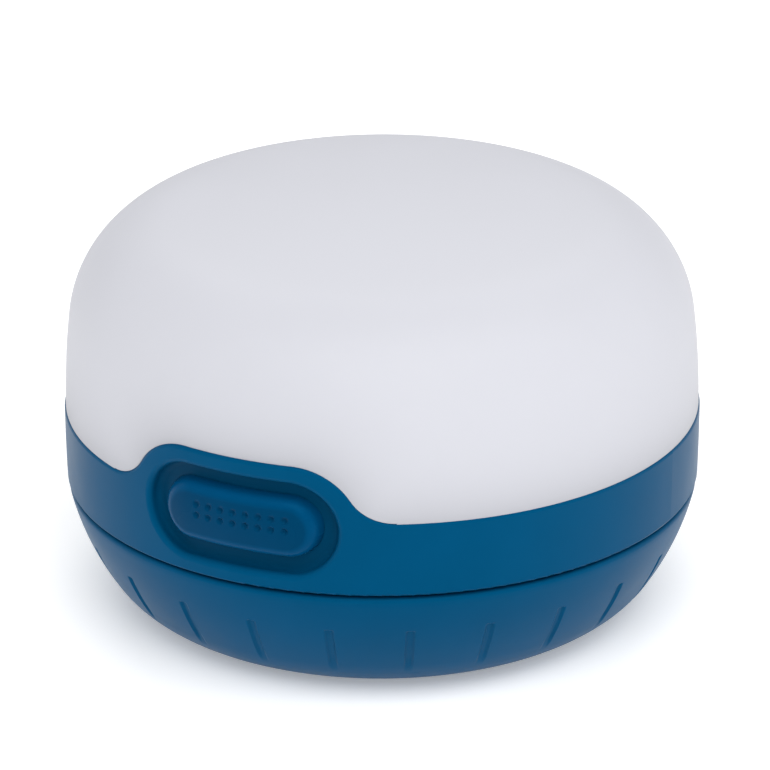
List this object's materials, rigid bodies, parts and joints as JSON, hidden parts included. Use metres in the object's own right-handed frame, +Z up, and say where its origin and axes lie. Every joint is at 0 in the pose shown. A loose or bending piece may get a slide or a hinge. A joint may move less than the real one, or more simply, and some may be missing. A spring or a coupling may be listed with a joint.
{
  "type": "camping lantern",
  "caption": "Palm-sized camping lantern: frosted dome on a collar with a push button, and a grooved twist-off base over AAA cells with fold-out hanging hooks.",
  "frame": {"origin": "centre of the base's resting face", "axes": "+Z up through the dome; the button faces -Y"},
  "size_m": [0.0704, 0.0705, 0.0465],
  "materials": {
    "frosted_white": "matte",
    "shell_blue": "satin",
    "button_blue": "satin",
    "seal_rubber": "matte",
    "switch_black": "matte",
    "board_green": "satin",
    "board_white": "satin",
    "phosphor_yellow": "gloss",
    "reflector_white": "satin",
    "tray_black": "matte",
    "screw_steel": "satin",
    "contact_nickel": "satin",
    "cell_can": "satin",
    "pad_foam": "matte",
    "saddle_black": "matte",
    "hook_steel": "satin"
  },
  "bodies": {
    "lantern_body": {"diffuser_dome": "frosted_white", "upper_housing": "shell_blue", "button_seal": "seal_rubber", "switch_case": "switch_black", "switch_board": "board_green", "switch_header": "switch_black", "led_board": "board_white", "led_emitters": "phosphor_yellow", "driver_components": "switch_black", "board_screws": "screw_steel", "reflector_deck": "reflector_white", "battery_tray": "tray_black", "tray_screws": "screw_steel", "cell_front": "cell_can", "cell_middle": "cell_can", "cell_rear": "cell_can", "contact_positive": "contact_nickel", "contact_negative": "contact_nickel", "contact_link_right": "contact_nickel", "contact_link_left": "contact_nickel", "base_seal": "seal_rubber"},
    "base": {"base_cover": "shell_blue", "cell_pad": "pad_foam", "hook_saddle": "saddle_black", "saddle_screws": "screw_steel"},
    "button": {"power_button": "button_blue", "switch_plunger": "switch_black"},
    "rear_hook": {"hang_hook_rear": "hook_steel"},
    "front_hook": {"hang_hook_front": "hook_steel"}
  },
  "joints": [
    {"name": "base_twist", "type": "hinge", "parent": "lantern_body", "child": "base", "pos_m": [0, 0, 0], "axis": [0, 0, -1], "range_deg": [0, 45]},
    {"name": "button_press", "type": "slide", "parent": "lantern_body", "child": "button", "axis": [0, 1, 0], "range_m": [0, 0.0006], "stiffness_N_per_m": 1500},
    {"name": "rear_hook_fold", "type": "hinge", "parent": "base", "child": "rear_hook", "pos_m": [0, 0.004, 0.0019], "axis": [-1, 0, 0], "range_deg": [0, 100]},
    {"name": "front_hook_fold", "type": "hinge", "parent": "base", "child": "front_hook", "pos_m": [0, -0.004, 0.0019], "axis": [1, 0, 0], "range_deg": [0, 100]}
  ]
}
